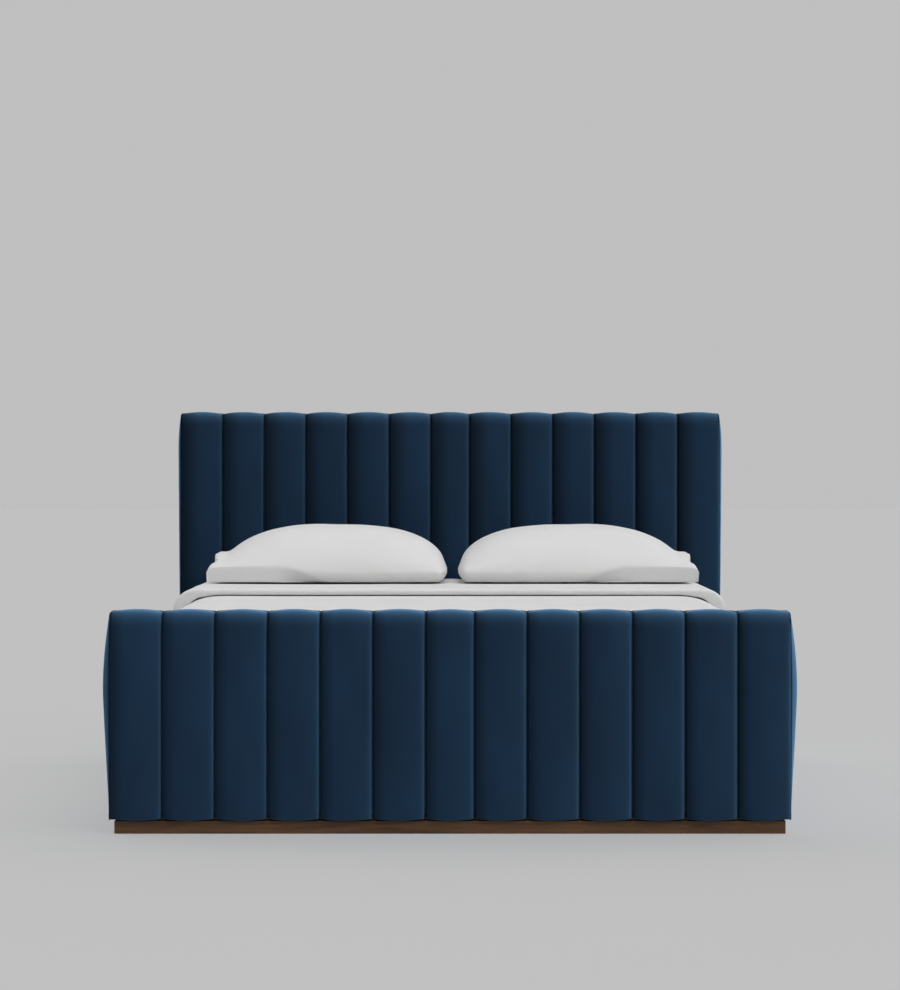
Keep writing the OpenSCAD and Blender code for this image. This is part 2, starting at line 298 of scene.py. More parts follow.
def velvet_material():
    """Short cut pile, dark navy face on, with real sheen, a painted sheen in its base colour where it is
    seen aslant, and painted shade along the seams and on each channel's left.
    """
    navy = (0.0106, 0.0298, 0.0620)
    painted_sheen_colour = (0.058, 0.150, 0.262)
    cloth = Shader("velvet", Roughness=0.9, Sheen_Weight=0.24, Sheen_Roughness=0.30,
                   Sheen_Tint=(0.24, 0.56, 1.0, 1), Specular_IOR_Level=0.1)
    nap = cloth.noise(0.11, cloth.stretched((1.0, 1.0, 0.35)), detail=3)
    pile = cloth.noise(0.0016, detail=2, rough=0.7)
    both = cloth.node("ShaderNodeMix", {"Factor": 0.35, 2: nap, 3: pile}).outputs[0]
    face = cloth.ramp(both, (0.3, scaled(navy, 0.80)), (0.5, navy), (0.72, scaled(navy, 1.25)))
    # Painted sheen: the base colour turns light blue where the surface is seen aslant.
    aslant = cloth.node("ShaderNodeLayerWeight", {"Blend": 0.5}).outputs["Facing"]
    painted_sheen_share = cloth.node("ShaderNodeMapRange", {"Value": aslant, "From Max": 0.9}).outputs[0]
    face_with_painted_sheen = cloth.node("ShaderNodeMixRGB", {
        "Fac": painted_sheen_share, "Color1": face, "Color2": (*painted_sheen_colour, 1)}).outputs[0]
    # Painted shade: the base colour darkens to near black along each seam and on the left of each
    # channel.
    pressed = cloth.node("ShaderNodeAttribute", attribute_name="pressed").outputs["Fac"]
    cloth.set("Base Color", cloth.node("ShaderNodeMixRGB", {
        "Fac": pressed, "Color1": face_with_painted_sheen, "Color2": (*scaled(navy, 0.12), 1)}).outputs[0])
    cloth.set("Roughness", cloth.spread(nap, 0.84, 0.96))
    nap_bump_and_left_shade = cloth.bump(nap, 0.0012, 0.5)
    cloth.set("Normal", cloth.bump(pile, 0.0004, 0.6, under=nap_bump_and_left_shade))
    return cloth.material


def cotton_material():
    """White percale with a fine plain weave."""
    white = (0.79, 0.79, 0.787)
    cloth = Shader("cotton", Roughness=0.92, Sheen_Weight=0.15, Sheen_Roughness=0.5,
                   Specular_IOR_Level=0.2)
    soft = cloth.noise(0.16, detail=3)
    cloth.set("Base Color", cloth.ramp(soft, (0.3, scaled(white, 0.965)), (0.7, white)))
    threads = [cloth.node("ShaderNodeTexWave", {"Vector": cloth.place, "Scale": 320.0,
                          "Distortion": 0.6, "Detail": 1.0}, bands_direction=way).outputs["Fac"]
               for way in ("X", "Y")]
    weave = cloth.maths("MULTIPLY", *threads)
    creases = cloth.bump(cloth.noise(0.045, detail=4, rough=0.55), 0.0012, 0.35)
    cloth.set("Normal", cloth.bump(weave, 0.00015, 0.5, under=creases))
    cloth.set("Roughness", cloth.spread(soft, 0.88, 0.97))
    return cloth.material


def ticking_material():
    """Knitted mattress ticking, quilted in diamonds."""
    cream = (0.74, 0.72, 0.67)
    cloth = Shader("ticking", Roughness=0.85, Sheen_Weight=0.2, Specular_IOR_Level=0.25)
    turned = cloth.node("ShaderNodeMapping", {
        "Vector": cloth.place, "Rotation": (0, 0, math.radians(45))}).outputs[0]
    lines = [cloth.node("ShaderNodeTexWave", {"Vector": turned, "Scale": 2.2},
                        bands_direction=way).outputs["Fac"] for way in ("X", "Y")]
    quilt = cloth.maths("MULTIPLY", *lines)
    cloth.set("Base Color", cloth.ramp(quilt, (0.0, scaled(cream, 0.86)), (0.25, cream)))
    knit = cloth.noise(0.002, detail=2)
    cloth.set("Normal", cloth.bump(knit, 0.0002, 0.6, under=cloth.bump(quilt, 0.004, 0.6)))
    return cloth.material


def wood_material(name, dark, light, along, rings, roughness):
    """Sawn wood with its grain along one axis; rings is the width of a growth ring."""
    lacquered = roughness < 0.5
    squeeze = [1.0, 1.0, 1.0]
    squeeze["XYZ".index(along)] = 0.06
    wood = Shader(name, Specular_IOR_Level=0.25, Coat_Weight=0.05 if lacquered else 0.0,
                  Coat_Roughness=0.35)
    grain_place = wood.stretched(tuple(squeeze))
    bend = wood.noise(0.09, grain_place, detail=2)
    shift = wood.node("ShaderNodeCombineXYZ", {0: bend, 1: bend, 2: bend}).outputs[0]
    moved = wood.node("ShaderNodeMixRGB", {"Fac": 0.035, "Color1": grain_place, "Color2": shift},
                      blend_type="ADD").outputs[0]
    rings_noise = wood.noise(rings, moved, detail=4, rough=0.6, distortion=0.4)
    fibre_place = wood.stretched(tuple(0.03 if value < 1 else 1.0 for value in squeeze))
    fibres = wood.noise(0.0012, fibre_place, detail=3, rough=0.65)
    tone = wood.node("ShaderNodeMix", {"Factor": 0.3, 2: rings_noise, 3: fibres}).outputs[0]
    middle = tuple((a + b) / 2 for a, b in zip(dark, light))
    wood.set("Base Color", wood.ramp(tone, (0.32, dark), (0.5, middle), (0.66, light)))
    wood.set("Roughness", wood.spread(fibres, roughness + 0.08, roughness - 0.06))
    wood.set("Normal", wood.bump(fibres, 0.0003, 0.5, under=wood.bump(rings_noise, 0.0004, 0.3)))
    return wood.material


def plywood_material():
    """Birch plywood face with its thin glued layers on the edges."""
    birch = (0.60, 0.44, 0.27)
    wood = Shader("plywood", Roughness=0.6, Specular_IOR_Level=0.3)
    face = wood.noise(0.03, wood.stretched((1.0, 1.0, 0.08)), detail=4)
    layers = wood.node("ShaderNodeTexWave", {"Vector": wood.place, "Scale": 55.0},
                       bands_direction="Y").outputs["Fac"]
    tone = wood.node("ShaderNodeMix", {"Factor": 0.35, 2: face, 3: layers}).outputs[0]
    wood.set("Base Color", wood.ramp(tone, (0.25, scaled(birch, 0.7)), (0.7, birch)))
    wood.set("Normal", wood.bump(face, 0.0003, 0.4))
    return wood.material


def zinc_material():
    """Zinc-plated steel, slightly mottled."""
    metal = Shader("zinc", Metallic=1.0, Roughness=0.38)
    spangle = metal.noise(0.012, detail=3)
    dull, bright = (0.42, 0.43, 0.45), (0.62, 0.63, 0.65)
    metal.set("Base Color", metal.ramp(spangle, (0.3, dull), (0.7, bright)))
    metal.set("Roughness", metal.spread(spangle, 0.3, 0.48))
    metal.set("Normal", metal.bump(metal.noise(0.001), 0.0001, 0.3))
    return metal.material


WALNUT = ((0.040, 0.019, 0.009), (0.160, 0.080, 0.036))
PINE = ((0.46, 0.27, 0.115), (0.74, 0.53, 0.30))
velvet = velvet_material()
cotton = cotton_material()
ticking = ticking_material()
plywood = plywood_material()
zinc = zinc_material()
walnut = {axis: wood_material(f"walnut_{axis}", *WALNUT, axis, 0.02, 0.42) for axis in "XY"}
pine = {axis: wood_material(f"pine_{axis}", *PINE, axis, 0.035, 0.62) for axis in "XYZ"}


# ---- padded channels ----

# One step along a channel's cover: a point of its outside in Y and Z, the way in from there, the
# point of its inside, and how far it belongs to the top, 0 to 1.
Station = namedtuple("Station", "outer inward inner top_share")


def cover_stations(board):
    """A channel's steps from under its foot to behind its top edge, Y from the board's front plane."""
    hem = 6 * MM
    corner = 3 * MM
    back_corner = 5 * MM
    at_roll = 0.4
    inner_top = board.top - board.top_pad
    stations = []

    def add(*values):
        stations.append(Station(*values))

    for y, z in arc(hem, board.low + hem, hem, 262, 190, 4):
        out = Vector((y - hem, z - board.low - hem)).normalized()
        add((y, z), -out, (board.foam - MM, board.low + MM + (z - board.low) * 0.2), 0.0)
    face_low, face_high = board.low + hem, board.top - board.roll_rise
    steps = round((face_high - face_low) / (22 * MM))
    for i in range(steps + 1):
        share = i / steps
        z = face_low + (face_high - face_low) * share
        inner_z = board.low + 3 * MM + (inner_top - corner - board.low - 3 * MM) * share
        top_share = at_roll * max(0.0, (share - 0.9) / 0.1)
        add((0.0, z), Vector((1, 0)), (board.foam - MM, inner_z), top_share)
    for i in range(1, 10):
        turn = math.radians(180 - 10 * i)
        aside, up = math.cos(turn), math.sin(turn)
        out = Vector((aside / board.roll_depth, up / board.roll_rise)).normalized()
        inner = (board.foam - MM + corner + corner * aside, inner_top - corner + corner * up)
        add((board.roll_depth * (1 + aside), face_high + board.roll_rise * up), -out, inner,
            at_roll + (1 - at_roll) * i / 9)
    back = board.depth - back_corner
    for i in range(1, 7):
        y = board.roll_depth + (back - board.roll_depth) * i / 6
        inner_y = board.foam + corner + (board.depth - board.foam - corner - 2 * MM) * i / 6
        add((y, board.top), Vector((0, -1)), (inner_y, inner_top), 1.0)
    for angle in (60, 30, 5):
        out = Vector((math.cos(math.radians(angle)), math.sin(math.radians(angle))))
        add((back + back_corner * out.x, board.top - back_corner + back_corner * out.y), -out,
            (board.depth - 2 * MM + out.x * MM, inner_top + 2 * MM), 1.0)
    return stations


def crown_drop(u, half, top_share):
    """How far the cover lies below its crown at u, from -1 to 1 across the channel."""
    edge = (1 - abs(u)) * half
    rounding = max(0.0, 1 - edge / (16 * MM)) ** 2
    crease = max(0.0, 1 - edge / (4 * MM)) ** 1.4
    face = (4.2 * u * u + 2.4 * rounding + 8.0 * crease) * MM
    top = (6.6 * u * u + 0.6 * rounding + 1.0 * crease) * MM
    return face * (1 - top_share) + top * top_share


def painted_shade_share(u, half, board):
    """How much painted shade darkens the cover, 0 to 1: in each seam's crease, and on the left side of
    each channel, which faces away from the light.
    """
    edge = (1 - abs(u)) * half
    at_seam = max(0.0, 1 - edge / (5 * MM))
    nap_bump_and_left_shade = board.nap_bump_and_left_shade * max(0.0, 1 - edge / board.left_shade_reach) if u < 0 else 0.0
    return min(1.0, nap_bump_and_left_shade + at_seam)


def at_board_end(index, u):
    """-1 or 1 at the outer edge of the first or the last channel, and 0 away from it."""
    outwards = {CHANNELS[0]: -1, CHANNELS[-1]: 1}.get(index, 0)
    return outwards * max(0.0, outwards * u) ** 6


def reach_out(index, u, top_share):
    """How far the first and the last channel's outer edge laps over the end pad beside it."""
    return 4 * MM * at_board_end(index, u) * (1 - top_share)


def make_channel(board, index):
    """The cover of one channel: its outside, a side sunk into each seam, and its inside."""
    node = f"{board.name}_channel_{index:02d}"
    low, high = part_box(node)
    middle = (low.x + high.x) / 2
    half = (high.x - low.x) / 2 + SEAM_REACH
    columns = 26
    places = [place_across(i, columns, bunched=0.35) for i in range(columns + 1)]
    inner_places = (0.98, 0.0, -0.98)
    seed = index + board.seed
    rings = []

    def beneath(x, station, drop):
        """The point that lies drop under the station's plain shape at x."""
        y, z = station.outer
        return Vector((x, board.face + y + station.inward.x * drop, z + station.inward.y * drop))

    for station in cover_stations(board):
        outside = []
        for u in places:
            x = middle + u * half + reach_out(index, u, station.top_share)
            at = (x, *station.outer)
            slack = 1 - abs(u) ** 6
            drop = crown_drop(u, half, station.top_share)
            drop *= 1 - 0.45 * station.top_share * abs(at_board_end(index, u))
            drop += slack * (0.55 * MM * wave(at, 0.09, seed) + 0.25 * MM * wave(at, 0.03, seed + 3))
            drop = max(0.0, drop + (0.6 + 1.5 * station.top_share) * MM)
            outside.append(beneath(x, station, drop))
        sunk = crown_drop(1, half, station.top_share) + 4 * MM
        left, right = [beneath(middle + u * half - 3.5 * MM * at_board_end(index, u), station, sunk)
                       for u in (-1, 1)]
        inner_y, inner_z = station.inner
        inside = [Vector((middle + u * half, board.face + inner_y, inner_z)) for u in inner_places]
        rings.append([left] + outside + [right] + inside)
    piece = skin(f"{node}_cover", rings, velvet)
    # Painted shade of each point, 0 to 1: full on the sides sunk into the seams and on the inside.
    around = [1.0] + [painted_shade_share(u, half, board) for u in places] + [1.0] * (1 + len(inner_places))
    pressed = piece.data.attributes.new("pressed", "FLOAT", "POINT")
    pressed.data.foreach_set("value", around * len(rings))
    declare_padded(piece, "frame", node)


for made_board in (headboard, footboard):
    for channel_index in CHANNELS:
        make_channel(made_board, channel_index)


# ---- end pads of the boards ----

def end_bulge(t, fullest):
    """Fullness of an end pad from 0 to 1 at height share t, greatest at the share fullest."""
    if t > fullest:
        return 1 - ((t - fullest) / (1 - fullest)) ** 2.1
    return 1 - ((fullest - t) / fullest) ** 1.2


def make_end_pad(board, side, sign, fullest):
    """The crowned pad that closes one end of a board, from its foot up to the rolled top edge."""
    node = f"{board.name}_end_pad_{side}"
    low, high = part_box(node)
    tall = high.z - low.z
    bulge = high.x - low.x - 2.2 * MM
    depth = high.y - low.y + 3 * MM
    root = board.half + 1.2 * MM
    setback = 7 * MM
    columns = 16
    rows = max(20, round(tall / (20 * MM)))
    rings = []

    def eased(share):
        return 0.5 - 0.5 * math.cos(math.pi * share)

    def on_side(v, t):
        """Y from the pad's front, and Z, at the shares v of its depth and t of its height."""
        y = setback + v * (depth - setback)
        top = high.z - board.roll_drop(y) * 0.95
        return y, low.z + (top - low.z) * t

    for r in range(rows + 1):
        t = 0.85 * eased(r / rows) + 0.15 * r / rows
        ring = []
        for c in range(columns + 1):
            v = eased(c / columns)
            y, z = on_side(v, t)
            along_depth = min(1.0, 4 * min(v, 1 - v)) ** 0.5
            along_height = min(1.0, min(t, 1 - t) * tall / (14 * MM)) ** 0.5
            lip = along_depth * along_height
            out = lip * bulge * end_bulge(t, fullest) * (0.7 + 0.3 * math.sin(math.pi * v))
            out += lip * 0.5 * MM * wave((sign, y, z), 0.07, 5)
            ring.append(Vector((sign * (root + out), low.y + y, z)))
        for v in (0.97, 0.03):
            y, z = on_side(v, t)
            ring.append(Vector((sign * (root - 2 * MM), low.y + y, z)))
        rings.append(ring)
    piece = skin(f"{node}_cover", rings, velvet)
    declare_padded(piece, "frame", node)


for side_name, side_sign in SIDES:
    make_end_pad(headboard, side_name, side_sign, fullest=0.9)
    make_end_pad(footboard, side_name, side_sign, fullest=0.62)


# ---- other padded velvet ----

def make_rail_pad(side, sign):
    """Foam over the outside and the top of a side rail, and the lining turned inwards."""
    node = f"side_rail_pad_{side}"
    low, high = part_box(node)
    board_low, board_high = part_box(f"side_rail_{side}")
    lining, outer = sorted((abs(low.x), abs(high.x)))
    board_in, board_out = sorted((abs(board_low.x), abs(board_high.x)))
    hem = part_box("slats")[1].z + 4 * MM
    edge = 14 * MM
    rows = 10
    steps = round((high.y - low.y) / (22 * MM))
    seed = 21 if sign > 0 else 22

    def section(y):
        """The pad's outline in X and Z at the depth y."""
        ring = [(board_out + 2 * MM, low.z), (outer - 6 * MM, low.z)]
        for i in range(rows + 1):
            share = i / rows
            z = low.z + 4 * MM + (high.z - edge - low.z - 4 * MM) * share
            slack = 4.5 * MM * (2 * share - 1) ** 2 + 1.2 * MM * wave((0, y, z), 0.2, seed) + 1.3 * MM
            ring.append((outer - slack, z))
        for x, z in arc(outer - edge, high.z - edge, edge, 15, 75, 3):
            ring.append((x - 0.8 * MM, z - 0.6 * MM))
        for share in (0.2, 0.5, 0.8):
            ring.append((outer - edge + (lining + 3 * MM - outer + edge) * share,
                         high.z - 0.8 * MM - 0.5 * MM * wave((1, y, share), 0.1, seed)))
        ring += [(lining + 1.5 * MM, high.z - 1.2 * MM), (lining + 0.4 * MM, high.z - 5 * MM)]
        ring += [(lining + 0.4 * MM, high.z + (hem - high.z) * share) for share in (0.4, 0.7, 1.0)]
        ring += [(board_in - 0.3 * MM, hem), (board_in - 0.3 * MM, board_high.z + 0.5 * MM),
                 (board_out + 0.5 * MM, board_high.z + 0.5 * MM), (board_out + 0.5 * MM, low.z)]
        return [Vector((sign * x, y, z)) for x, z in ring]

    rings = [section(low.y + (high.y - low.y) * i / steps) for i in range(steps + 1)]
    piece = skin(f"{node}_cover", rings, velvet)
    declare_padded(piece, "frame", node)


def stops(low, high, breaks, cell):
    """Grid lines from low to high: close together at the ends, on each break, and a cell apart."""
    lines = {low, high}
    for reach in (1.5, 4, 9):
        lines |= {low + reach * MM, high - reach * MM}
    for stop in breaks:
        lines |= {stop - 4 * MM, stop, stop + 4 * MM}
    fixed = sorted(lines)
    dense = []
    for a, b in zip(fixed, fixed[1:]):
        count = max(1, round((b - a) / cell))
        dense += [a + (b - a) * i / count for i in range(count)]
    return dense + [fixed[-1]]


def notch_of(node):
    """Where a board's notch for the rail starts in X and ends in Z, or else the board's own corner."""
    low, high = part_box(node)
    corners = [v.co for v in frame["nodes"][node].data.vertices]
    notch_x = min(abs(c.x) for c in corners)
    levels = sorted({round(c.z, 5) for c in corners})
    return notch_x, levels[1] if notch_x < high.x - 5 * MM else low.z


def make_corner_facing(side, sign):
    """Velvet over the back of a footboard stile, where the inner board is notched for the rail."""
    notch_x, notch_top = notch_of("footboard_inner_board")
    stile_low, stile_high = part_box(f"footboard_stile_{side}")
    across_x = sorted((sign * (notch_x - 5 * MM), sign * (footboard.half + 1 * MM)))
    low = Vector((across_x[0], stile_high.y - 0.5 * MM, stile_low.z))
    high = Vector((across_x[1], stile_high.y + 1.3 * MM, notch_top + 5 * MM))
    piece = rounded_box(f"footboard_corner_facing_{side}", low, high, 0.8 * MM, 20 * MM, velvet)
    for vertex in piece.data.vertices:
        vertex.co.y += 0.25 * MM * wave(vertex.co, 0.08, 53)
    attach(piece, "frame")


def make_panel_cover(node, seed):
    """Fabric stretched over a thin board, whose back, towards +Y, is the face that is seen."""
    low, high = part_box(node)
    notch_x, notch_top = notch_of(node)
    notched = notch_top > low.z
    cell = 38 * MM
    xs = stops(low.x, high.x, [-notch_x, notch_x] if notched else [], cell)
    zs = stops(low.z, high.z, [notch_top] if notched else [], cell)

    def inside(x, z):
        return not notched or abs(x) < notch_x or z > notch_top

    def edge_distance(x, z):
        reach = min(x - low.x, high.x - x, z - low.z, high.z - z)
        if notched and z < notch_top:
            reach = min(reach, notch_x - abs(x))
        if notched and abs(x) > notch_x:
            reach = min(reach, z - notch_top)
        return max(0.0, reach)

    form = bmesh.new()
    index = {}

    def vertex(i, k, seen):
        if (i, k, seen) not in index:
            x, z = xs[i], zs[k]
            lowered = 3.2 * MM * max(0.0, 1 - edge_distance(x, z) / (9 * MM)) ** 2
            lowered += 0.5 * MM + 0.4 * MM * wave((x, 0, z), 0.16, seed)
            index[i, k, seen] = form.verts.new((x, high.y - lowered if seen else low.y, z))
        return index[i, k, seen]

    for i in range(len(xs) - 1):
        for k in range(len(zs) - 1):
            if not inside((xs[i] + xs[i + 1]) / 2, (zs[k] + zs[k + 1]) / 2):
                continue
            square = ((i, k), (i + 1, k), (i + 1, k + 1), (i, k + 1))
            for seen in (True, False):
                form.faces.new([vertex(a, b, seen) for a, b in square])
            for (a, b), (c, d) in zip(square, square[1:] + square[:1]):
                x = (xs[a] + xs[c]) / 2 + (d - b) * MM
                z = (zs[b] + zs[d]) / 2 - (c - a) * MM
                on_board = low.x < x < high.x and low.z < z < high.z
                if not on_board or not inside(x, z):
                    form.faces.new([vertex(a, b, True), vertex(a, b, False),
                                    vertex(c, d, False), vertex(c, d, True)])
    piece = from_form(f"{node}_cover", form, velvet, subdivided=True)
    declare_padded(piece, "frame", node)


for side_name, side_sign in SIDES:
    make_rail_pad(side_name, side_sign)
    make_corner_facing(side_name, side_sign)
make_panel_cover("headboard_back_board", seed=51)
make_panel_cover("footboard_inner_board", seed=52)


# ---- wood with eased edges ----

def make_eased(node, material, rounding):
    """The wooden piece of a node with its sawn edges eased."""
    form = bmesh.new()
    form.from_mesh(frame["nodes"][node].data)
    bmesh.ops.remove_doubles(form, verts=form.verts, dist=0.01 * MM)
    bmesh.ops.dissolve_limit(form, angle_limit=math.radians(1), verts=form.verts, edges=form.edges)
    bmesh.ops.bevel(form, geom=form.edges[:], offset=rounding, segments=2, profile=0.5, affect="EDGES")
    piece = from_form(f"{node}_wood", form, material, smooth=False)
    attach(piece, "frame")
    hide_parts(node)
    return piece


def grain_of(node):
    """The axis that a wooden piece is longest in."""
    low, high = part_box(node)
    size = high - low
    return "XYZ"[max(range(3), key=lambda axis: size[axis])]


for part in frame["record"]["subparts"]:
    wooden, wood_slot = part["node"], part["material_slot"]
    if wood_slot == "walnut":
        make_eased(wooden, walnut[grain_of(wooden)], 1.5 * MM)
    elif wood_slot == "pine":
        grain = {"slats": "X", "centre_legs": "Z"}.get(wooden, grain_of(wooden))
        make_eased(wooden, pine[grain], 2 * MM)


# ---- mattress and bedding ----

DUVET_EDGE = 70 * MM    # radius of the duvet's shoulders
FOLD_DENT = 3 * MM      # how far the turned-back band presses into the duvet
HANG_START = 60 * MM    # how far under its top the bedding starts to hang free


def ease(share):
    """Runs smoothly from 0 to 1 as share does, and stays there."""
    share = min(1.0, max(0.0, share))
    return share * share * (3 - 2 * share)


def soft_top(p):
    """How far the bedding's surface stands off its plain shape at p."""
    return 1.1 * MM * wave(p, 0.34, 31) + 0.5 * MM * wave(p, 0.11, 32)


def shoulder_sag(x, z, high):
    """How the duvet, whose box ends at high, sinks and pulls in at the mattress's long edges."""
    pull_in, sink = 8 * MM, 9 * MM
    at_edge = ease((abs(x) - high.x) / (85 * MM) + 1.4)
    at_top = ease(1 - (high.z - DUVET_EDGE - z) / (120 * MM))
    return Vector((-math.copysign(pull_in * at_edge, x), 0, -sink * at_edge * at_top))


def make_piping(name, path, radius, material):
    """A round cord sewn along a closed path of points."""
    sides = 8
    count = len(path)
    across_y = Vector((0, 1, 0))
    points = []
    faces = []
    for r, p in enumerate(path):
        ahead = (path[(r + 1) % count] - path[r - 1]).normalized()
        side = ahead.cross(across_y).normalized()
        after = (r + 1) % count
        for n in range(sides):
            m = (n + 1) % sides
            turn = 2 * math.pi * n / sides
            points.append(p + radius * (math.cos(turn) * side + math.sin(turn) * across_y))
            faces.append((r * sides + n, r * sides + m, after * sides + m, after * sides + n))
    return mesh_object(name, points, faces, material)


def make_mattress():
    """A mattress with rounded edges, and piping along its upper and lower edge."""
    low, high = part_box("mattress")
    edge = 52 * MM
    piece = rounded_box("mattress_cover", low, high, edge, 40 * MM, ticking, subdivided=True)
    for vertex in piece.data.vertices:
        p = vertex.co
        vertex.co = p - vertex.normal * (0.8 * MM + 0.6 * MM * wave(p, 0.12, 35))
    declare_padded(piece, "mattress", "mattress")
    inset = edge * (1 - math.cos(math.radians(45)))
    centres = ((high.x - edge, high.y - edge), (low.x + edge, high.y - edge),
               (low.x + edge, low.y + edge), (high.x - edge, low.y + edge))
    for level, z in (("top", high.z - inset), ("bottom", low.z + inset)):
        outline = []
        for quarter, (x, y) in enumerate(centres):
            start = 90 * quarter
            outline += [Vector((px, py, z)) for px, py in arc(x, y, edge - inset, start, start + 90, 6)]
        dense = []
        for a, b in zip(outline, outline[1:] + outline[:1]):
            count = max(1, round((b - a).length / (60 * MM)))
            dense += [a.lerp(b, i / count) for i in range(count)]
        piping = make_piping(f"mattress_piping_{level}", dense, 4 * MM, ticking)
        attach(piping, "mattress")


def make_duvet():
    """A thin duvet over the mattress, down its sides and its foot end."""
    low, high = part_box("duvet")
    thickness = high.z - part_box("mattress")[1].z
    beyond = high + Vector((0, DUVET_EDGE, 0))
    piece = rounded_box("duvet_cover", low, beyond, DUVET_EDGE, 26 * MM, cotton, open_below=True)
    form = bmesh.new()
    form.from_mesh(piece.data)
    head_end = [face for face in form.faces if max(v.co.y for v in face.verts) > high.y]
    bmesh.ops.delete(form, geom=head_end, context="FACES")
    form.normal_update()
    drop = high.z - low.z
    fold_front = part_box("duvet_fold")[0].y
    for vertex in form.verts:
        p = vertex.co.copy()
        hang = max(0.0, (high.z - HANG_START - p.z) / drop)
        ripple = 2.6 * MM * hang * wave((p.x, p.y, p.z * 0.25), 0.13, 33)
        under_fold = FOLD_DENT * ease((p.y - fold_front) / (70 * MM) + 1)
        puff = soft_top(p) - 1.0 * MM + ripple - under_fold
        vertex.co = p + vertex.normal * puff + shoulder_sag(p.x, p.z, high)
        if p.z < low.z + MM:
            vertex.co.z += 3 * MM + 3 * MM * wave(p, 0.22, 34)
    form.to_mesh(piece.data)
    form.free()
    filling = piece.modifiers.new("filling", "SOLIDIFY")
    filling.thickness = thickness - 5 * MM
    filling.offset = -1.0
    add_subdivision(piece)
    declare_padded(piece, "mattress", "duvet")


def across_bed(half, top, low, radius, cell):
    """Points of a section over the bed with rounded shoulders, each with its outward normal."""
    tall = top - radius - low
    wide = half - radius
    side = max(2, round(tall / cell))
    flat = max(2, round(2 * wide / cell))
    left = [((-half, low + tall * i / side), (-1, 0)) for i in range(side)]
    left += [((-wide + radius * x, low + tall + radius * z), (x, z))
             for x, z in arc(0, 0, 1, 180, 90, 8)]
    over = [((-wide + 2 * wide * i / flat, top), (0, 1)) for i in range(1, flat)]
    right = [((-x, z), (-nx, nz)) for (x, z), (nx, nz) in reversed(left)]
    return left + over + right


def make_fold():
    """The head end of the duvet turned back on itself: a thick band with a rounded front edge."""
    low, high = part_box("duvet_fold")
    duvet_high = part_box("duvet")[1]
    gap = 0.8 * MM
    thickness = high.z - duvet_high.z - gap
    half_thickness = thickness / 2
    middle_top = high.z - half_thickness
    path = across_bed(high.x - half_thickness, middle_top, low.z, radius=57 * MM, cell=24 * MM)
    pillow_low, pillow_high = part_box("pillow_right")
    inner_end, outer_end = sorted((abs(pillow_low.x), abs(pillow_high.x)))
    cell = 26 * MM

    def pillow_dent(x, y):
        """How far a pillow presses into the fold at x and y."""
        blend = 40 * MM
        from_inner = ease((abs(x) - inner_end) / blend + 0.5)
        to_outer = ease((outer_end - abs(x)) / blend + 0.5)
        from_front = ease((y - pillow_low.y) / blend + 0.3)
        return 2.6 * MM * from_inner * to_outer * from_front

    stations = []
    for degrees in (3, 20, 40, 60, 78):
        turn = math.radians(degrees)
        stations.append((low.y + half_thickness * (1 - math.cos(turn)), math.sin(turn)))
    straight = high.y - low.y - thickness
    steps = round(straight / cell)
    for i in range(steps + 1):
        stations.append((low.y + half_thickness + straight * i / steps, 1.0))
    for degrees in (60, 20):
        turn = math.radians(degrees)
        stations.append((high.y - half_thickness * (1 - math.cos(turn)), math.sin(turn)))
    rings = []
    for y, fullness in stations:
        outer, inner = [], []
        front_share = max(0.0, 1 - (y - low.y) / (200 * MM))
        near_front = ease((low.y + 78 * MM - y) / (25 * MM))
        lift = (1.2 * MM - FOLD_DENT) * fullness * near_front
        for n, ((x, z), (nx, nz)) in enumerate(path):
            at_hem = n in (0, len(path) - 1)
            front_line = 1.6 * MM * wave((x, 0, z), 0.3, 41) + 0.8 * MM * wave((x, 0, z), 0.09, 42)
            along = y + front_share * front_line
            hang = max(0.0, (middle_top - HANG_START - z) / (middle_top - low.z))
            puff = soft_top((x, along, z)) + 1.8 * MM * hang * wave((x, along, z * 0.3), 0.12, 43)
            half_filling = half_thickness * fullness * (0.55 if at_hem else 1.0)
            shoulder_filling = 16 * MM * fullness * abs(nx * nz)
            over = half_filling + puff - MM - pillow_dent(x, along)
            under = puff + lift - half_filling - shoulder_filling
            sag = fullness * shoulder_sag(x, z, duvet_high)
            if at_hem:
                z += 2 * MM + 3 * MM * wave((x, along, 0), 0.18, 44)
            outer.append(Vector((x + nx * over, along, z + nz * over)))
            inner.append(Vector((x + nx * under, along, z + nz * under)) + sag)
        rings.append(outer + inner[::-1])
    piece = skin("duvet_fold_cover", rings, cotton, doubled=True)
    declare_padded(piece, "mattress", "duvet_fold")


